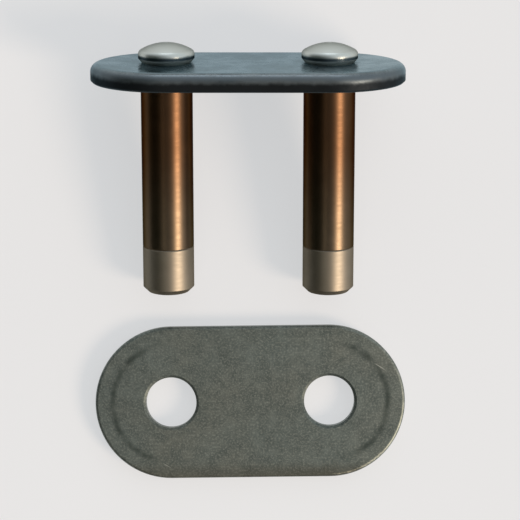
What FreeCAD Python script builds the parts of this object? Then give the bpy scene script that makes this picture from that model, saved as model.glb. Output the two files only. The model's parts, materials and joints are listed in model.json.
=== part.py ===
import FreeCAD, Part
import math
import os

import Sketcher

# A connecting link for a roller chain, taken apart and laid on a table. An outer plate with two
# pins riveted into it lies on its side, on the lower edge of the plate and the ends of the pins.
# The loose plate that closes the link lies flat in front of the pin ends.
# Lengths are in millimetres and angles in degrees. +Z is up, +X runs from the left pin to the
# right one, and +Y from the loose plate to the rivet heads. The origin is on the table, below the
# middle of the whole.

# Driving sizes: word, value, meaning
DRIVING = (
    ("pitch", 15.875, "between the centres of the two pins, and of the two holes of a plate"),
    ("outer_plate_height", 14.8, "across the outer plate, whose ends are round about its holes"),
    ("loose_plate_height", 15.2, "the same, of the loose plate"),
    ("plate_thickness", 1.8, "of both plates"),
    ("outer_plate_round", 0.8, "radius round the outer plate's outer face"),
    ("loose_plate_round", 0.3, "radius round the loose plate's outer face"),
    ("plate_edge_bevel", 0.2, "bevel round a plate's inner face"),
    ("hole_edge_bevel", 0.25, "bevel at both mouths of a loose plate's hole"),
    ("pin_diameter", 5.08, "of the shank and of the end that takes the loose plate"),
    ("press_bite", 0.02, "how much smaller a loose plate's hole is than the pin pressed into it"),
    ("rivet_diameter", 4.75, "of a pin inside the outer plate, below the shank's shoulder"),
    ("pin_reach", 21.1, "from the inner face of the outer plate to the end of a pin"),
    ("pin_end_length", 4.6, "of the bare end of a pin, as far as the ring turned round it"),
    ("pin_end_chamfer", 0.5, "at the rim of a pin's end"),
    ("ring_width", 0.16, "of the fine ring between the shank and the bare end"),
    ("ring_depth", 0.04, "of the same ring"),
    ("collar_diameter", 5.5, "of the rim that riveting spreads round a head"),
    ("collar_flare", 0.45, "height over which the head spreads from the plate to that rim"),
    ("collar_land", 0.65, "height of the rim's straight side"),
    ("dome_rise", 0.85, "height of the head's dome above that side"),
    ("dome_edge_round", 0.5, "radius between the rim's side and the dome"),
    ("loose_gap", 3.1, "from the pin ends to the loose plate"),
    ("loose_shift", 0.18, "how far the loose plate lies to the right of the link"),
    ("loose_turn", 0.7, "angle by which the loose plate is turned, its right end up"),
)

# Sizes and places that follow from the ones above: word, formula, meaning
FOLLOWING = (
    ("pin_radius", "pin_diameter / 2", "of the shank"),
    ("open_hole_radius", "(pin_diameter - press_bite) / 2", "of the loose plate's holes"),
    ("rivet_radius", "rivet_diameter / 2", "of the outer plate's holes, filled by the pins"),
    ("link_length", "pin_reach + plate_thickness", "from a pin's end to the outer face"),
    ("collar_radius", "collar_diameter / 2", "of a head's rim"),
    ("collar_top", "link_length + collar_flare + collar_land", "above the pin's end"),
    ("head_top", "collar_top + dome_rise", "above the pin's end"),
    ("dome_radius", "(collar_radius ^ 2 + dome_rise ^ 2) / (2 * dome_rise)", "of the dome's sphere"),
    ("foot_drop", "outer_plate_height / 2 - pin_radius", "from a pin's foot to the plate's foot"),
    ("foot_run", "pin_reach - pin_end_chamfer + plate_edge_bevel", "the same, along the pin"),
    (
        "rest_tilt",
        "atan(foot_drop / foot_run)",
        "of the pins, with the plate's bevelled edge and the pin ends on the table",
    ),
    (
        "link_z",
        "outer_plate_height / 2 * cos(rest_tilt) - plate_edge_bevel * sin(rest_tilt)",
        "of the middle of the outer plate's inner face",
    ),
    (
        "head_front",
        "(head_top - pin_reach - dome_radius) * cos(rest_tilt) + dome_radius",
        "how far the heads stand out along +Y from the middle of that face",
    ),
    (
        "end_front",
        "pin_reach * cos(rest_tilt) + (pin_radius - pin_end_chamfer) * sin(rest_tilt)",
        "how far the pin ends stand out along -Y from it",
    ),
    (
        "loose_half",
        "loose_plate_height / 2 + pitch / 2 * sin(loose_turn)",
        "half of the loose plate's extent along Y",
    ),
    (
        "link_y",
        "loose_half + (end_front + loose_gap - head_front) / 2",
        "of that face's middle, with the whole centred on the origin",
    ),
    ("link_x", "-loose_shift / 2", "of that face's middle"),
    ("loose_x", "loose_shift / 2", "of the loose plate's middle"),
    ("loose_y", "link_y - end_front - loose_gap - loose_half", "of the loose plate's middle"),
    ("pin_end_y", "link_y - pin_reach * cos(rest_tilt)", "of the middle of a pin's end"),
    ("pin_end_z", "link_z - pin_reach * sin(rest_tilt)", "of the middle of a pin's end"),
)

SAME = 1e-6  # lengths closer than this are equal

doc = FreeCAD.newDocument("connecting_link")


def fill_sheet():
    """The sheet of sizes, one row each: the word, its value under that alias, and its meaning."""
    sheet = doc.addObject("Spreadsheet::Sheet", "Sizes")
    for row, (word, value, meaning) in enumerate(DRIVING + FOLLOWING, 1):
        content = f"={value}" if isinstance(value, str) else str(value)
        sheet.set(f"A{row}", word)
        sheet.set(f"C{row}", meaning)
        sheet.setAlias(f"B{row}", word)
        sheet.set(f"B{row}", content)
    doc.recompute()
    return sheet


sizes = fill_sheet()


def size(word):
    """The value of one cell of the sheet, as a plain number."""
    return float(getattr(sizes.get(word), "Value", sizes.get(word)))


def new_body(label):
    body = doc.addObject("PartDesign::Body", label)
    body.Label = label
    return body


def new_sketch(body, name, plane_role):
    """A sketch on one of the body's own origin planes."""
    sketch = body.newObject("Sketcher::SketchObject", name)
    plane = [p for p in body.Origin.OriginFeatures if p.Role == plane_role][0]
    sketch.AttachmentSupport = (plane, [""])
    sketch.MapMode = "FlatFace"
    return sketch


def bind(feature, **expressions):
    """Tie properties of a feature to cells of the sheet."""
    for name, expression in expressions.items():
        feature.setExpression(name, expression)


def constrain(sketch, *constraint):
    """Add one geometric constraint to a sketch."""
    sketch.addConstraint(Sketcher.Constraint(*constraint))


def measure(sketch, kind, *where, expression):
    """Add one dimension to a sketch and tie it to the sheet."""
    value = float(sketch.evalExpression(expression))
    index = sketch.addConstraint(Sketcher.Constraint(kind, *where, value))
    sketch.setExpression(f"Constraints[{index}]", expression)


def edges_where(feature, test):
    """The names of the edges of a feature that pass the test."""
    edges = feature.Shape.Edges
    return [f"Edge{number}" for number, edge in enumerate(edges, 1) if test(edge)]


def round_edges(body, name, feature, test, radius):
    """Round the edges that pass the test, with a radius from the sheet."""
    fillet = body.newObject("PartDesign::Fillet", name)
    fillet.Base = (feature, edges_where(feature, test))
    bind(fillet, Radius=f"Sizes.{radius}")
    doc.recompute()
    return fillet


def bevel_edges(body, name, feature, test, width):
    """Bevel the edges that pass the test, with a width from the sheet."""
    chamfer = body.newObject("PartDesign::Chamfer", name)
    chamfer.Base = (feature, edges_where(feature, test))
    bind(chamfer, Size=f"Sizes.{width}")
    doc.recompute()
    return chamfer


def is_circle(edge, radius):
    return isinstance(edge.Curve, Part.Circle) and abs(edge.Curve.Radius - radius) < SAME


def draw_outline(sketch, height):
    """A plate's outline: round ends about the two hole centres, joined by straight sides."""
    half_pitch = size("pitch") / 2
    radius = size(height) / 2
    up = FreeCAD.Vector(0, 0, 1)
    right = Part.Circle(FreeCAD.Vector(half_pitch, 0), up, radius)
    left = Part.Circle(FreeCAD.Vector(-half_pitch, 0), up, radius)
    right_end = sketch.addGeometry(Part.ArcOfCircle(right, -math.pi / 2, math.pi / 2))
    left_end = sketch.addGeometry(Part.ArcOfCircle(left, math.pi / 2, 3 * math.pi / 2))
    top = sketch.addGeometry(
        Part.LineSegment(FreeCAD.Vector(half_pitch, radius), FreeCAD.Vector(-half_pitch, radius))
    )
    bottom = sketch.addGeometry(
        Part.LineSegment(FreeCAD.Vector(-half_pitch, -radius), FreeCAD.Vector(half_pitch, -radius))
    )
    constrain(sketch, "Tangent", right_end, 2, top, 1)
    constrain(sketch, "Tangent", top, 2, left_end, 1)
    constrain(sketch, "Tangent", left_end, 2, bottom, 1)
    constrain(sketch, "Tangent", bottom, 2, right_end, 1)
    constrain(sketch, "Symmetric", right_end, 3, left_end, 3, -1, 1)
    constrain(sketch, "PointOnObject", right_end, 3, -1)
    constrain(sketch, "Equal", right_end, left_end)
    measure(sketch, "DistanceX", left_end, 3, right_end, 3, expression="Sizes.pitch")
    measure(sketch, "Radius", right_end, expression=f"Sizes.{height} / 2")


def draw_holes(sketch, hole_radius):
    """The two holes of a plate, one pitch apart."""
    half_pitch = size("pitch") / 2
    radius = size(hole_radius)
    up = FreeCAD.Vector(0, 0, 1)
    right = sketch.addGeometry(Part.Circle(FreeCAD.Vector(half_pitch, 0), up, radius))
    left = sketch.addGeometry(Part.Circle(FreeCAD.Vector(-half_pitch, 0), up, radius))
    constrain(sketch, "Symmetric", right, 3, left, 3, -1, 1)
    constrain(sketch, "PointOnObject", right, 3, -1)
    constrain(sketch, "Equal", right, left)
    measure(sketch, "DistanceX", left, 3, right, 3, expression="Sizes.pitch")
    measure(sketch, "Radius", right, expression=f"Sizes.{hole_radius}")


def make_plate(label, height, rim_round, hole_radius):
    """A blanked plate with its inner face on its own XY plane and its outer face above it."""
    body = new_body(label)

    outline = new_sketch(body, f"{label}_outline", "XY_Plane")
    draw_outline(outline, height)
    blank = body.newObject("PartDesign::Pad", f"{label}_blank")
    blank.Profile = outline
    bind(blank, Length="Sizes.plate_thickness")

    holes = new_sketch(body, f"{label}_hole_centres", "XY_Plane")
    draw_holes(holes, hole_radius)
    pierced = body.newObject("PartDesign::Pocket", f"{label}_holes")
    pierced.Profile = holes
    pierced.Type = "ThroughAll"
    pierced.Reversed = True
    doc.recompute()

    def is_hole_mouth(edge):
        return is_circle(edge, size(hole_radius))

    def is_outer_rim(edge):
        at_outer_face = edge.BoundBox.ZMin > size("plate_thickness") - SAME
        return at_outer_face and not is_hole_mouth(edge)

    def is_inner_rim(edge):
        return edge.BoundBox.ZMax < SAME and not is_hole_mouth(edge)

    rounded = round_edges(body, f"{label}_outer_rim", pierced, is_outer_rim, rim_round)
    bevelled = bevel_edges(body, f"{label}_inner_rim", rounded, is_inner_rim, "plate_edge_bevel")
    if hole_radius == "open_hole_radius":
        bevel_edges(body, f"{label}_hole_mouths", bevelled, is_hole_mouth, "hole_edge_bevel")
    return body


def draw_pin_profile(sketch):
    """Half of a pin's section, from the middle of its end up to the dome and back down its axis."""
    corners = (
        ("0", "0"),
        ("Sizes.pin_radius - Sizes.pin_end_chamfer", "0"),
        ("Sizes.pin_radius", "Sizes.pin_end_chamfer"),
        ("Sizes.pin_radius", "Sizes.pin_end_length - Sizes.ring_width / 2"),
        ("Sizes.pin_radius - Sizes.ring_depth", "Sizes.pin_end_length"),
        ("Sizes.pin_radius", "Sizes.pin_end_length + Sizes.ring_width / 2"),
        ("Sizes.pin_radius", "Sizes.pin_reach"),
        ("Sizes.rivet_radius", "Sizes.pin_reach"),
        ("Sizes.rivet_radius", "Sizes.link_length"),
        ("Sizes.collar_radius", "Sizes.link_length + Sizes.collar_flare"),
        ("Sizes.collar_radius", "Sizes.collar_top"),
        ("0", "Sizes.head_top"),
    )
    points = [
        FreeCAD.Vector(float(sketch.evalExpression(out)), float(sketch.evalExpression(along)))
        for out, along in corners
    ]

    # straight lines from corner to corner, the last of them up the rim's side
    for start, end in zip(points[:-2], points[1:-1]):
        sketch.addGeometry(Part.LineSegment(start, end))

    # the dome, whose sphere has its middle on the axis
    dome_middle = FreeCAD.Vector(0, size("head_top") - size("dome_radius"))
    dome_circle = Part.Circle(dome_middle, FreeCAD.Vector(0, 0, 1), size("dome_radius"))
    dome_start = math.asin((points[-2].y - dome_middle.y) / size("dome_radius"))
    dome = sketch.addGeometry(Part.ArcOfCircle(dome_circle, dome_start, math.pi / 2))
    axis = sketch.addGeometry(Part.LineSegment(points[-1], points[0]))
    constrain(sketch, "PointOnObject", dome, 3, -2)

    for number in range(axis):
        constrain(sketch, "Coincident", number, 2, number + 1, 1)
    constrain(sketch, "Coincident", axis, 2, 0, 1)

    for number, (out, along) in enumerate(corners):
        if out == "0":
            constrain(sketch, "PointOnObject", number, 1, -2)
        else:
            measure(sketch, "DistanceX", -1, 1, number, 1, expression=out)
        if along == "0":
            constrain(sketch, "PointOnObject", number, 1, -1)
        else:
            measure(sketch, "DistanceY", -1, 1, number, 1, expression=along)


def make_pin(label):
    """A turned pin that stands on its end, with its riveted head on top."""
    body = new_body(label)
    profile = new_sketch(body, f"{label}_profile", "XZ_Plane")
    draw_pin_profile(profile)
    turned = body.newObject("PartDesign::Revolution", f"{label}_turned")
    turned.Profile = profile
    turned.ReferenceAxis = (profile, ["V_Axis"])
    turned.Angle = 360
    doc.recompute()

    def is_dome_edge(edge):
        at_collar_top = abs(edge.BoundBox.ZMax - size("collar_top")) < SAME
        return at_collar_top and is_circle(edge, size("collar_radius"))

    round_edges(body, f"{label}_dome_edge", turned, is_dome_edge, "dome_edge_round")
    return body


def place(body, x, y, z, axis, turn):
    """Turn a sub-part about an axis and move it, with the angle and the place from the sheet."""
    start_angle = 1  # any angle but 0, so that the axis is kept
    body.Placement = FreeCAD.Placement(FreeCAD.Vector(), FreeCAD.Rotation(axis, start_angle))
    body.setExpression("Placement.Rotation.Angle", turn)
    body.setExpression("Placement.Base.x", x)
    body.setExpression("Placement.Base.y", y)
    body.setExpression("Placement.Base.z", z)


ALONG_X = FreeCAD.Vector(1, 0, 0)
ALONG_Z = FreeCAD.Vector(0, 0, 1)
ON_ITS_SIDE = "Sizes.rest_tilt - 90 deg"

outer_plate = make_plate("outer_plate", "outer_plate_height", "outer_plate_round", "rivet_radius")
place(outer_plate, "Sizes.link_x", "Sizes.link_y", "Sizes.link_z", ALONG_X, ON_ITS_SIDE)

left_pin = make_pin("left_pin")
left_x = "Sizes.link_x - Sizes.pitch / 2"
place(left_pin, left_x, "Sizes.pin_end_y", "Sizes.pin_end_z", ALONG_X, ON_ITS_SIDE)

right_pin = make_pin("right_pin")
right_x = "Sizes.link_x + Sizes.pitch / 2"
place(right_pin, right_x, "Sizes.pin_end_y", "Sizes.pin_end_z", ALONG_X, ON_ITS_SIDE)

loose_plate = make_plate(
    "loose_plate", "loose_plate_height", "loose_plate_round", "open_hole_radius"
)
place(loose_plate, "Sizes.loose_x", "Sizes.loose_y", "0", ALONG_Z, "Sizes.loose_turn * 1 deg")

doc.recompute()

for item in doc.Objects:
    if "Invalid" in item.State or "Error" in item.State:
        raise RuntimeError(f"{item.Label} did not build: {item.State}")

os.makedirs("parts", exist_ok=True)
for body in (outer_plate, left_pin, right_pin, loose_plate):
    shape = body.Shape
    if shape.isNull() or not shape.isValid() or len(shape.Solids) != 1:
        raise RuntimeError(f"{body.Label} is not one valid solid")
    shape.exportStep(f"parts/{body.Label}.step")
    print(body.Label, round(shape.Volume, 2), "mm3")
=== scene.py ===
import json
import math

import bpy
from mathutils import Matrix, Vector

# A roller chain's connecting link, taken apart on a pale table and seen from almost straight above.
# The shapes are all the frame's. This script gives each of them its steel, and sets up the camera,
# the table and the light. Lengths are in metres, and most are written as a number of millimetres.

MM = 0.001

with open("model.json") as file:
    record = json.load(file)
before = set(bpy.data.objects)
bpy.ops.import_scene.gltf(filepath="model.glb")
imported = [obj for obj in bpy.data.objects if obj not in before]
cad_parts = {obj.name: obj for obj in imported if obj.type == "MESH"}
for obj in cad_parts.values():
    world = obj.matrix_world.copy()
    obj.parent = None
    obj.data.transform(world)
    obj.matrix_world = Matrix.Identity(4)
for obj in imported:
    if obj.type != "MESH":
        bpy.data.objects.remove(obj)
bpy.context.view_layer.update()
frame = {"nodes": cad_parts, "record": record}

mounts = {mount["name"]: mount for mount in frame["record"]["mounts"]}


# The camera

FRAME_PIXELS = 520
FOCAL_PIXELS = 2023
SENSOR_WIDTH = 36  # millimetres, as Blender has it
CAMERA_HEIGHT = 204.5 * MM
CAMERA_FOOT = Vector((1.20, 4.10)) * MM  # the point on the table below the camera
LOOKED_AT = Vector((1.07, 0.26)) * MM  # the point on the table in the middle of the picture
NEAREST_SEEN = 10 * MM


def add_camera():
    """The camera looks down, a degree off plumb, with +Y up in the picture."""
    data = bpy.data.cameras.new("camera")
    data.sensor_width = SENSOR_WIDTH
    data.lens = SENSOR_WIDTH * FOCAL_PIXELS / FRAME_PIXELS
    data.clip_start = NEAREST_SEEN
    camera = bpy.data.objects.new("camera", data)
    bpy.context.scene.collection.objects.link(camera)
    place = Vector((*CAMERA_FOOT, CAMERA_HEIGHT))
    backward = (place - Vector((*LOOKED_AT, 0))).normalized()
    right = Vector((0, 1, 0)).cross(backward).normalized()
    up = backward.cross(right)
    axes = Matrix((right, up, backward)).transposed().to_4x4()
    camera.matrix_world = Matrix.Translation(place) @ axes
    bpy.context.scene.camera = camera


add_camera()


# Colours and nodes

# A Mix node's sockets for colours, by number, because those for numbers have the same names
SHARE, FIRST_COLOUR, SECOND_COLOUR, MIXED_COLOUR = 0, 6, 7, 2


def colour(code):
    """An sRGB hex colour as the linear one that a shader's socket takes."""
    shares = [int(code[i : i + 2], 16) / 255 for i in (1, 3, 5)]
    return (*(s / 12.92 if s <= 0.04045 else ((s + 0.055) / 1.055) ** 2.4 for s in shares), 1)


def add_node(tree, kind, inputs, output=0, **settings):
    """Add a node with its settings, feed its inputs with values or with other nodes' outputs, and
    give back one of its own outputs."""
    node = tree.nodes.new(kind)
    for name, value in settings.items():
        setattr(node, name, value)
    for name, value in inputs.items():
        if isinstance(value, bpy.types.NodeSocket):
            tree.links.new(value, node.inputs[name])
        else:
            node.inputs[name].default_value = value
    return node.outputs[output] if node.outputs else None


def new_material(name):
    """An empty material, its node tree, and the Object coordinates that its patterns read."""
    material = bpy.data.materials.new(name)
    material.use_nodes = True
    tree = material.node_tree
    tree.nodes.clear()
    return material, tree, add_node(tree, "ShaderNodeTexCoord", {}, "Object")


# The pins

SHANK = mounts["left_pin_shank"]
PIN_AXIS = -Vector(SHANK["axis"])  # from a pin's end to its head
PIN_TURN = -math.atan2(PIN_AXIS.y, PIN_AXIS.z)  # about X, from upright to the way the pins lie
SHANK_LENGTH = SHANK["dims"]["length_mm"] * MM
END_CHAMFER = 0.5 * MM
END_OF_PIN = Vector(SHANK["pos_m"]) - PIN_AXIS * (SHANK_LENGTH / 2 + END_CHAMFER)
PIN_REACH = SHANK_LENGTH + END_CHAMFER  # from a pin's end to the outer plate's inner face
BARE_END = 4.6 * MM  # from a pin's end to the ring turned round it
OXIDE_EDGE = 0.15 * MM  # how wide the oxide's edge at that ring is, and how far it wanders
DEEPEST_OXIDE = 0.75 * PIN_REACH  # from a pin's end to where the oxide is as deep as it gets
HIDDEN_EDGE = 0.3 * MM  # inside the outer plate, between the shank's finish and the head's
END_ROUGHER = 0.14  # how much rougher the bare end is than the rest of the pin
MARKS_DRAWN_OUT = (0.12, 0.12, 1)  # stretches the grinding marks eightfold, round a pin

# painted shade under the dome: a line round a head's widest part, which fades in and out above the
# outer plate
HEAD_START = PIN_REACH + SHANK["mate_length_mm"] * MM  # the outer plate's outer face
SHADE_LINE_START = HEAD_START + 0.4 * MM
SHADE_LINE_FULL = HEAD_START + 0.5 * MM
SHADE_LINE_FADES = HEAD_START + 0.65 * MM
SHADE_LINE_END = HEAD_START + 0.85 * MM


def past_ring(tree, upright, along):
    """0 on a pin's bare end and 1 past the ring, with an edge that wanders a little."""
    wander = add_node(
        tree, "ShaderNodeTexNoise", {"Vector": upright, "Scale": 1 / (1.2 * MM)}, "Fac"
    )
    edge = add_node(
        tree,
        "ShaderNodeMath",
        {0: wander, 1: OXIDE_EDGE, 2: along},
        operation="MULTIPLY_ADD",
    )
    return add_node(
        tree,
        "ShaderNodeMapRange",
        {"Value": edge, "From Min": BARE_END, "From Max": BARE_END + OXIDE_EDGE},
        interpolation_type="SMOOTHSTEP",
    )


def oxide_colour(tree, along, blotches):
    """Bronze-brown, paler next to the ring, deeper and redder towards the plate."""
    pale = add_node(
        tree,
        "ShaderNodeMix",
        {SHARE: blotches, FIRST_COLOUR: colour("#514739"), SECOND_COLOUR: colour("#65594a")},
        MIXED_COLOUR,
        data_type="RGBA",
    )
    deep = add_node(
        tree,
        "ShaderNodeMix",
        {SHARE: blotches, FIRST_COLOUR: colour("#433123"), SECOND_COLOUR: colour("#543f2d")},
        MIXED_COLOUR,
        data_type="RGBA",
    )
    towards_plate = add_node(
        tree,
        "ShaderNodeMapRange",
        {"Value": along, "From Min": BARE_END, "From Max": DEEPEST_OXIDE},
        interpolation_type="SMOOTHSTEP",
    )
    return add_node(
        tree,
        "ShaderNodeMix",
        {SHARE: towards_plate, FIRST_COLOUR: pale, SECOND_COLOUR: deep},
        MIXED_COLOUR,
        data_type="RGBA",
    )


def head_colour_and_shade(tree, along):
    """Bright, with a blue-black line of painted shade round the head's widest part, between dome
    and flare.
    """
    over_flare = add_node(
        tree,
        "ShaderNodeMapRange",
        {"Value": along, "From Min": SHADE_LINE_START, "From Max": SHADE_LINE_FULL},
        interpolation_type="SMOOTHSTEP",
    )
    under_dome = add_node(
        tree,
        "ShaderNodeMapRange",
        {"Value": along, "From Min": SHADE_LINE_END, "From Max": SHADE_LINE_FADES},
        interpolation_type="SMOOTHSTEP",
    )
    widest = add_node(
        tree, "ShaderNodeMath", {0: under_dome, 1: over_flare}, operation="MULTIPLY"
    )
    # the head's own bright colour, and the blue-black painted shade under the dome
    return add_node(
        tree,
        "ShaderNodeMix",
        {SHARE: widest, FIRST_COLOUR: colour("#c8cfcb"), SECOND_COLOUR: colour("#475359")},
        MIXED_COLOUR,
        data_type="RGBA",
    )


def pin_steel():
    """Alloy steel, case-hardened and centreless-ground. Heat treatment leaves a bronze-brown oxide
    on the shank, deeper and redder towards the plate, with one warm streak of light along it. The
    end that takes the loose plate is ground bare after that. The head is bright where the riveting
    tool spun it, with a blue-black line of painted shade under the dome, round its widest part."""
    material, tree, place = new_material("ground_hardened_steel")
    upright = add_node(
        tree,
        "ShaderNodeMapping",
        {"Vector": place, "Location": END_OF_PIN, "Rotation": (PIN_TURN, 0, 0)},
        vector_type="TEXTURE",
    )
    along = add_node(tree, "ShaderNodeSeparateXYZ", {"Vector": upright}, "Z")
    oxidised = past_ring(tree, upright, along)
    head = add_node(
        tree,
        "ShaderNodeMapRange",
        {"Value": along, "From Min": PIN_REACH, "From Max": PIN_REACH + HIDDEN_EDGE},
    )

    # grinding marks round the pin, 0.05 mm apart in truth and drawn at 0.25 mm to show
    drawn_out = add_node(
        tree, "ShaderNodeMapping", {"Vector": upright, "Scale": MARKS_DRAWN_OUT}
    )
    marks = add_node(
        tree,
        "ShaderNodeTexNoise",
        {"Vector": drawn_out, "Scale": 1 / (0.25 * MM), "Detail": 4, "Roughness": 0.7},
        "Fac",
    )
    blotches = add_node(
        tree, "ShaderNodeTexNoise", {"Vector": upright, "Scale": 1 / (2.5 * MM), "Detail": 3}, "Fac"
    )
    bare_colour = add_node(
        tree,
        "ShaderNodeMix",
        {SHARE: blotches, FIRST_COLOUR: colour("#7b7568"), SECOND_COLOUR: colour("#8e887c")},
        MIXED_COLOUR,
        data_type="RGBA",
    )
    shank_colour = add_node(
        tree,
        "ShaderNodeMix",
        {
            SHARE: oxidised,
            FIRST_COLOUR: bare_colour,
            SECOND_COLOUR: oxide_colour(tree, along, blotches),
        },
        MIXED_COLOUR,
        data_type="RGBA",
    )
    base = add_node(
        tree,
        "ShaderNodeMix",
        {SHARE: head, FIRST_COLOUR: shank_colour, SECOND_COLOUR: head_colour_and_shade(tree, along)},
        MIXED_COLOUR,
        data_type="RGBA",
    )
    end_roughness = add_node(
        tree,
        "ShaderNodeMapRange",
        {"Value": marks, "From Min": 0.3, "From Max": 0.7, "To Min": 0.46, "To Max": 0.54},
    )
    roughness = add_node(
        tree,
        "ShaderNodeMath",
        {0: oxidised, 1: -END_ROUGHER, 2: end_roughness},
        operation="MULTIPLY_ADD",
    )
    relief = add_node(
        tree, "ShaderNodeBump", {"Height": marks, "Distance": 0.004 * MM, "Strength": 0.35}
    )
    shader = add_node(
        tree,
        "ShaderNodeBsdfPrincipled",
        {
            "Base Color": base,
            "Metallic": 1,
            "Roughness": roughness,
            "Specular Tint": colour("#949490"),
            "Normal": relief,
        },
    )
    add_node(tree, "ShaderNodeOutputMaterial", {"Surface": shader})
    return material


# Both plates

LEFT_HOLE = Vector(mounts["loose_plate_left_hole"]["pos_m"])
RIGHT_HOLE = Vector(mounts["loose_plate_right_hole"]["pos_m"])
HOLE_TO_HOLE = RIGHT_HOLE - LEFT_HOLE
PITCH = HOLE_TO_HOLE.length


def plate_axes(tree, place, middle, turn):
    """A plate's own axes, with X from hole to hole: a point's place in them, how far it is above
    the line that joins the holes, and how far past the nearer hole, towards the plate's end."""
    own = add_node(
        tree,
        "ShaderNodeMapping",
        {"Vector": place, "Location": middle, "Rotation": turn},
        vector_type="TEXTURE",
    )
    x = add_node(tree, "ShaderNodeSeparateXYZ", {"Vector": own}, "X")
    across = add_node(tree, "ShaderNodeSeparateXYZ", {"Vector": own}, "Y")
    from_middle = add_node(tree, "ShaderNodeMath", {0: x}, operation="ABSOLUTE")
    past_hole = add_node(
        tree, "ShaderNodeMath", {0: from_middle, 1: PITCH / 2}, operation="SUBTRACT"
    )
    return own, across, past_hole


# The outer plate

# the middle of its inner face, from which its own Z goes up its wall
OUTER_MIDDLE = Vector(mounts["pin_pair"]["pos_m"]) + PIN_AXIS * PIN_REACH / 2
OUTER_TURN = (PIN_TURN, 0, 0)

# its rim is rounded, and the finish of its wall, darkened in part as painted shade, starts on the
# round
HALF_HEIGHT = 7.4 * MM
WALL_START = HALF_HEIGHT - 0.45 * MM
WALL_FULL = HALF_HEIGHT - 0.03 * MM

# heights on its wall of 1.8 mm, above a line that wanders up to TEAR_WANDER below the inner face
TEAR_START = 1.45 * MM
ALL_TORN = 0.85 * MM
TEAR_WANDER = 0.4 * MM


def blanked_wall_and_shade(tree, own, across, past_hole):
    """The wall that the blanking die left, sheared smooth next to the outer face and torn next to
    the inner one, and darker there, partly as painted shade: where it is, from 0 to 1, its
    colour, and how much duller it is than the face."""
    past_hole = add_node(tree, "ShaderNodeMath", {0: past_hole, 1: 0}, operation="MAXIMUM")
    sideways = add_node(tree, "ShaderNodeCombineXYZ", {"X": past_hole, "Y": across})
    from_middle_line = add_node(
        tree, "ShaderNodeVectorMath", {0: sideways}, "Value", operation="LENGTH"
    )
    wall = add_node(
        tree,
        "ShaderNodeMapRange",
        {"Value": from_middle_line, "From Min": WALL_START, "From Max": WALL_FULL},
        interpolation_type="SMOOTHSTEP",
    )
    height = add_node(tree, "ShaderNodeSeparateXYZ", {"Vector": own}, "Z")
    wander = add_node(
        tree, "ShaderNodeTexNoise", {"Vector": own, "Scale": 1 / (0.8 * MM), "Detail": 3}, "Fac"
    )
    uneven_height = add_node(
        tree,
        "ShaderNodeMath",
        {0: wander, 1: TEAR_WANDER, 2: height},
        operation="MULTIPLY_ADD",
    )
    torn = add_node(
        tree,
        "ShaderNodeMapRange",
        {"Value": uneven_height, "From Min": TEAR_START, "From Max": ALL_TORN},
        interpolation_type="SMOOTHSTEP",
    )
    # sheared grey to torn near-black; this darkness, from the round down, is partly painted shade
    wall_colour_and_shade = add_node(
        tree,
        "ShaderNodeMix",
        {SHARE: torn, FIRST_COLOUR: colour("#636c71"), SECOND_COLOUR: colour("#24282b")},
        MIXED_COLOUR,
        data_type="RGBA",
    )
    wall_dullness = add_node(
        tree, "ShaderNodeMapRange", {"Value": torn, "To Min": 0.15, "To Max": 0.35}
    )
    return wall, wall_colour_and_shade, wall_dullness


def tumbled_steel():
    """Carbon steel sheet, blanked, hardened and tumbled until it is smooth: blue-grey, with a soft
    gloss, faint clouds, and fine marks that run every way. The wall is duller, and darker, partly
    as painted shade."""
    material, tree, place = new_material("tumbled_plate_steel")
    own, across, past_hole = plate_axes(tree, place, OUTER_MIDDLE, OUTER_TURN)
    wall, wall_colour_and_shade, wall_dullness = blanked_wall_and_shade(tree, own, across, past_hole)
    clouds = add_node(
        tree,
        "ShaderNodeTexNoise",
        {"Vector": own, "Scale": 1 / (3 * MM), "Detail": 6, "Roughness": 0.65},
        "Fac",
    )
    # what tumbling stones leave is about 0.1 mm wide, and is drawn at 0.25 mm
    grain = add_node(
        tree,
        "ShaderNodeTexNoise",
        {"Vector": own, "Scale": 1 / (0.25 * MM), "Detail": 5, "Roughness": 0.65},
        "Fac",
    )
    cloudiness = add_node(
        tree, "ShaderNodeMapRange", {"Value": clouds, "From Min": 0.35, "From Max": 0.65}
    )
    clouded = add_node(
        tree,
        "ShaderNodeMix",
        {SHARE: cloudiness, FIRST_COLOUR: colour("#6b7579"), SECOND_COLOUR: colour("#868f92")},
        MIXED_COLOUR,
        data_type="RGBA",
    )
    specks = add_node(
        tree,
        "ShaderNodeMapRange",
        {"Value": grain, "From Min": 0.4, "From Max": 0.7, "To Max": 0.5},
    )
    face_colour = add_node(
        tree,
        "ShaderNodeMix",
        {SHARE: specks, FIRST_COLOUR: clouded, SECOND_COLOUR: colour("#555b5e")},
        MIXED_COLOUR,
        data_type="RGBA",
    )
    base = add_node(
        tree,
        "ShaderNodeMix",
        {SHARE: wall, FIRST_COLOUR: face_colour, SECOND_COLOUR: wall_colour_and_shade},
        MIXED_COLOUR,
        data_type="RGBA",
    )
    face_roughness = add_node(
        tree,
        "ShaderNodeMapRange",
        {"Value": clouds, "From Min": 0.3, "From Max": 0.7, "To Min": 0.12, "To Max": 0.44},
    )
    roughness = add_node(
        tree,
        "ShaderNodeMath",
        {0: wall, 1: wall_dullness, 2: face_roughness},
        operation="MULTIPLY_ADD",
    )
    relief = add_node(
        tree, "ShaderNodeBump", {"Height": grain, "Distance": 0.008 * MM, "Strength": 0.3}
    )
    shader = add_node(
        tree,
        "ShaderNodeBsdfPrincipled",
        {
            "Base Color": base,
            "Metallic": 1,
            "Roughness": roughness,
            "Specular Tint": colour("#d9eef6"),
            "Normal": relief,
        },
    )
    add_node(tree, "ShaderNodeOutputMaterial", {"Surface": shader})
    return material


# The loose plate

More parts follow.
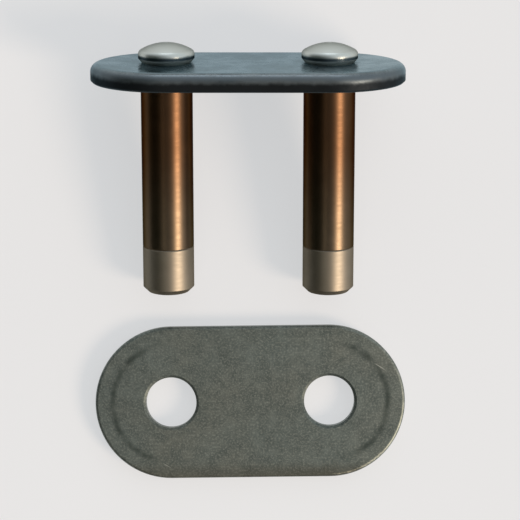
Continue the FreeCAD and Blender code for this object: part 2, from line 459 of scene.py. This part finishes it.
LOOSE_MIDDLE = Vector(mounts["loose_plate_underside"]["pos_m"])
LOOSE_TURN = (0, 0, math.atan2(HOLE_TO_HOLE.y, HOLE_TO_HOLE.x))
RUBBED_RADIUS = 5.87 * MM  # of the mark that an inner link's rim leaves round a hole
RUBBED_HALF_WIDTH = 0.55 * MM
RUBBED_FULL = 3.5 * MM  # past a hole, towards the plate's end
BROWN_EDGE_START, BROWN_EDGE_FULL = -5.8 * MM, -7.3 * MM  # on the side of the middle line away from the pins
SCRATCH_TURN = (0, 0, math.radians(-32))
SCRATCH_DRAWN_OUT = (12, 1, 1)


def peened_colour(tree, drift, mottle, dimples):
    """Grey with a green cast that drifts over the plate, duller in patches, lit in the dimples."""
    spread = add_node(
        tree, "ShaderNodeMapRange", {"Value": drift, "From Min": 0.35, "From Max": 0.65}
    )
    drifting = add_node(
        tree,
        "ShaderNodeMix",
        {SHARE: spread, FIRST_COLOUR: colour("#7c8078"), SECOND_COLOUR: colour("#78817c")},
        MIXED_COLOUR,
        data_type="RGBA",
    )
    dull_patches = add_node(
        tree,
        "ShaderNodeMapRange",
        {"Value": mottle, "From Min": 0.62, "From Max": 0.36, "To Max": 0.85},
    )
    uneven = add_node(
        tree,
        "ShaderNodeMix",
        {SHARE: dull_patches, FIRST_COLOUR: drifting, SECOND_COLOUR: colour("#5f6763")},
        MIXED_COLOUR,
        data_type="RGBA",
    )
    lit_dimples = add_node(
        tree,
        "ShaderNodeMapRange",
        {"Value": dimples, "From Min": 0.48, "From Max": 0.7, "To Max": 0.6},
    )
    return add_node(
        tree,
        "ShaderNodeMix",
        {SHARE: lit_dimples, FIRST_COLOUR: uneven, SECOND_COLOUR: colour("#a9aea6")},
        MIXED_COLOUR,
        data_type="RGBA",
    )


def rubbed_ring(tree, own, across, past_hole):
    """How much an inner link has rubbed the plate: a ring round each hole, only on the side of the
    plate's end, and rubbed in patches."""
    sideways = add_node(tree, "ShaderNodeCombineXYZ", {"X": past_hole, "Y": across})
    from_hole = add_node(
        tree, "ShaderNodeVectorMath", {0: sideways}, "Value", operation="LENGTH"
    )
    off_ring = add_node(
        tree, "ShaderNodeMath", {0: from_hole, 1: RUBBED_RADIUS}, operation="SUBTRACT"
    )
    off_ring = add_node(tree, "ShaderNodeMath", {0: off_ring}, operation="ABSOLUTE")
    ring = add_node(
        tree,
        "ShaderNodeMapRange",
        {"Value": off_ring, "From Max": RUBBED_HALF_WIDTH, "To Min": 1, "To Max": 0},
        interpolation_type="SMOOTHSTEP",
    )
    at_end = add_node(
        tree,
        "ShaderNodeMapRange",
        {"Value": past_hole, "From Min": 0, "From Max": RUBBED_FULL},
        interpolation_type="SMOOTHSTEP",
    )
    patches = add_node(
        tree,
        "ShaderNodeTexNoise",
        {"Vector": own, "Scale": 1 / (1.6 * MM), "Detail": 4, "Roughness": 0.6},
        "Fac",
    )
    worn = add_node(
        tree,
        "ShaderNodeMapRange",
        {"Value": patches, "From Min": 0.35, "From Max": 0.6, "To Min": 0.2, "To Max": 0.75},
    )
    end_ring = add_node(tree, "ShaderNodeMath", {0: ring, 1: at_end}, operation="MULTIPLY")
    return add_node(tree, "ShaderNodeMath", {0: end_ring, 1: worn}, operation="MULTIPLY")


def brown_edge(tree, across, drift):
    """How much browner and darker the plate is, along its edge away from the pins."""
    along_edge = add_node(
        tree,
        "ShaderNodeMapRange",
        {"Value": across, "From Min": BROWN_EDGE_START, "From Max": BROWN_EDGE_FULL, "To Max": 0.75},
        interpolation_type="SMOOTHSTEP",
    )
    return add_node(tree, "ShaderNodeMath", {0: along_edge, 1: drift}, operation="MULTIPLY")


def short_scratches(tree, own):
    """How much handling has scratched the plate bright, in a few slanted lines, 0.1 mm wide and
    about 2 mm long."""
    slanted = add_node(
        tree,
        "ShaderNodeMapping",
        {"Vector": own, "Rotation": SCRATCH_TURN, "Scale": SCRATCH_DRAWN_OUT},
        vector_type="TEXTURE",
    )
    lines = add_node(
        tree, "ShaderNodeTexNoise", {"Vector": slanted, "Scale": 1 / (0.22 * MM)}, "Fac"
    )
    return add_node(
        tree,
        "ShaderNodeMapRange",
        {"Value": lines, "From Min": 0.72, "From Max": 0.78, "To Max": 0.6},
    )


def satin_steel():
    """The same sheet steel, shot-peened to a satin grey with a green cast and a fine mottle. The
    inner link has rubbed a dull ring round each hole, one edge is browner and darker, and
    handling has left a few short bright scratches."""
    material, tree, place = new_material("peened_plate_steel")
    own, across, past_hole = plate_axes(tree, place, LOOSE_MIDDLE, LOOSE_TURN)

    # shot leaves dimples of about 0.1 mm, drawn at 0.2 mm, and the metal takes them unevenly
    dimples = add_node(
        tree,
        "ShaderNodeTexNoise",
        {"Vector": own, "Scale": 1 / (0.2 * MM), "Detail": 3, "Roughness": 0.75},
        "Fac",
    )
    mottle = add_node(
        tree,
        "ShaderNodeTexNoise",
        {"Vector": own, "Scale": 1 / (1.3 * MM), "Detail": 5, "Roughness": 0.75},
        "Fac",
    )
    drift = add_node(
        tree, "ShaderNodeTexNoise", {"Vector": own, "Scale": 1 / (6 * MM), "Detail": 4}, "Fac"
    )

    # the peened colour, and over it the brown edge, the ring and the scratches
    marks = (
        (brown_edge(tree, across, drift), "#554c3c"),
        (rubbed_ring(tree, own, across, past_hole), "#3c4541"),
        (short_scratches(tree, own), "#c9cbc2"),
    )
    base = peened_colour(tree, drift, mottle, dimples)
    for share, mark_colour in marks:
        base = add_node(
            tree,
            "ShaderNodeMix",
            {SHARE: share, FIRST_COLOUR: base, SECOND_COLOUR: colour(mark_colour)},
            MIXED_COLOUR,
            data_type="RGBA",
        )
    roughness = add_node(
        tree,
        "ShaderNodeMapRange",
        {"Value": dimples, "From Min": 0.3, "From Max": 0.7, "To Min": 0.44, "To Max": 0.54},
    )
    relief = add_node(
        tree, "ShaderNodeBump", {"Height": dimples, "Distance": 0.012 * MM, "Strength": 0.5}
    )
    shader = add_node(
        tree,
        "ShaderNodeBsdfPrincipled",
        {"Base Color": base, "Metallic": 1, "Roughness": roughness, "Normal": relief},
    )
    add_node(tree, "ShaderNodeOutputMaterial", {"Surface": shader})
    return material


# Each piece's finish


def dress(material, *nodes):
    """Give one or more CAD nodes their finish."""
    for node in nodes:
        slots = frame["nodes"][node].data.materials
        slots.clear()
        slots.append(material)


dress(pin_steel(), "left_pin", "right_pin")
dress(tumbled_steel(), "outer_plate")
dress(satin_steel(), "loose_plate")


# The table and the light

TABLE_WIDTH = 10  # metres
SHOWN_PALE = 0.7  # share of the table's own colour that the camera and the metal see without shade


def matt_laminate():
    """White melamine laminate with a matt texture: its own pale colour, with soft shadows on it."""
    material, tree, place = new_material("matt_white_laminate")
    # the sheet's print drifts by a shade over a hand's width
    drift = add_node(
        tree, "ShaderNodeTexNoise", {"Vector": place, "Scale": 1 / (80 * MM)}, "Fac"
    )
    base = add_node(
        tree,
        "ShaderNodeMix",
        {SHARE: drift, FIRST_COLOUR: colour("#e6e7e9"), SECOND_COLOUR: colour("#ecedee")},
        MIXED_COLOUR,
        data_type="RGBA",
    )
    surface = add_node(tree, "ShaderNodeBsdfPrincipled", {"Base Color": base, "Roughness": 0.7})
    own_colour = add_node(tree, "ShaderNodeEmission", {"Color": base})
    to_camera = add_node(tree, "ShaderNodeLightPath", {}, "Is Camera Ray")
    to_metal = add_node(tree, "ShaderNodeLightPath", {}, "Is Glossy Ray")
    to_glass = add_node(tree, "ShaderNodeLightPath", {}, "Is Transmission Ray")
    seen = add_node(tree, "ShaderNodeMath", {0: to_camera, 1: to_metal}, operation="MAXIMUM")
    seen = add_node(tree, "ShaderNodeMath", {0: seen, 1: to_glass}, operation="MAXIMUM")
    share = add_node(tree, "ShaderNodeMath", {0: seen, 1: SHOWN_PALE}, operation="MULTIPLY")
    both = add_node(tree, "ShaderNodeMixShader", {0: share, 1: surface, 2: own_colour})
    add_node(tree, "ShaderNodeOutputMaterial", {"Surface": both})
    material.cycles.emission_sampling = "NONE"
    return material


def add_table():
    """A wide, plain, pale table top, which keeps the pieces' shadows."""
    bpy.ops.object.select_all(action="DESELECT")
    bpy.ops.mesh.primitive_plane_add(size=TABLE_WIDTH)
    table = bpy.context.object
    table.name = "table"
    table.data.materials.append(matt_laminate())


def add_light(name, towards, strength, width_degrees, hue):
    """A far, soft lamp that stands in the given direction, seen from the table."""
    data = bpy.data.lights.new(name, "SUN")
    data.energy = strength
    data.angle = math.radians(width_degrees)
    data.color = colour(hue)[:3]
    lamp = bpy.data.objects.new(name, data)
    bpy.context.scene.collection.objects.link(lamp)
    lamp.rotation_euler = Vector(towards).to_track_quat("Z", "Y").to_euler()


def set_room(dark_side, pale_colour, dark_colour, pale_end, dark_start):
    """A pale room with a dark corner in the direction dark_side. Between the two it darkens evenly,
    from pale_end to dark_start, which are cosines of the angle to that direction."""
    world = bpy.data.worlds.new("room")
    bpy.context.scene.world = world
    world.use_nodes = True
    tree = world.node_tree
    tree.nodes.clear()
    way = add_node(tree, "ShaderNodeTexCoord", {}, "Generated")
    cosine = add_node(
        tree,
        "ShaderNodeVectorMath",
        {0: way, 1: Vector(dark_side).normalized()},
        "Value",
        operation="DOT_PRODUCT",
    )
    share = add_node(
        tree,
        "ShaderNodeMapRange",
        {"Value": cosine, "From Min": pale_end, "From Max": dark_start},
    )
    shade = add_node(
        tree,
        "ShaderNodeMix",
        {SHARE: share, FIRST_COLOUR: colour(pale_colour), SECOND_COLOUR: colour(dark_colour)},
        MIXED_COLOUR,
        data_type="RGBA",
    )
    background = add_node(tree, "ShaderNodeBackground", {"Color": shade})
    add_node(tree, "ShaderNodeOutputWorld", {"Surface": background})


add_table()

# the warm lamp on the right lays one streak along each pin
add_light("key", towards=(0.715, -0.39, 0.58), strength=2.55, width_degrees=19, hue="#ffe4ca")
# a low window behind the pins' heads
add_light(
    "low_window", towards=(0.0, 0.97, 0.22), strength=0.2, width_degrees=28, hue="#f2f6ff"
)
# a small window in front of the loose plate, high and to the left
add_light(
    "side_window", towards=(-0.28, -0.52, 0.80), strength=0.1, width_degrees=14, hue="#fff6e6"
)
# the dark corner is at the left in front, and keeps the pins' left sides dark
set_room(
    dark_side=(-0.76, -0.52, 0.42),
    pale_colour="#e6eaee",
    dark_colour="#212a1d",
    pale_end=-0.1,
    dark_start=0.85,
)

bpy.context.scene.view_settings.view_transform = "Standard"
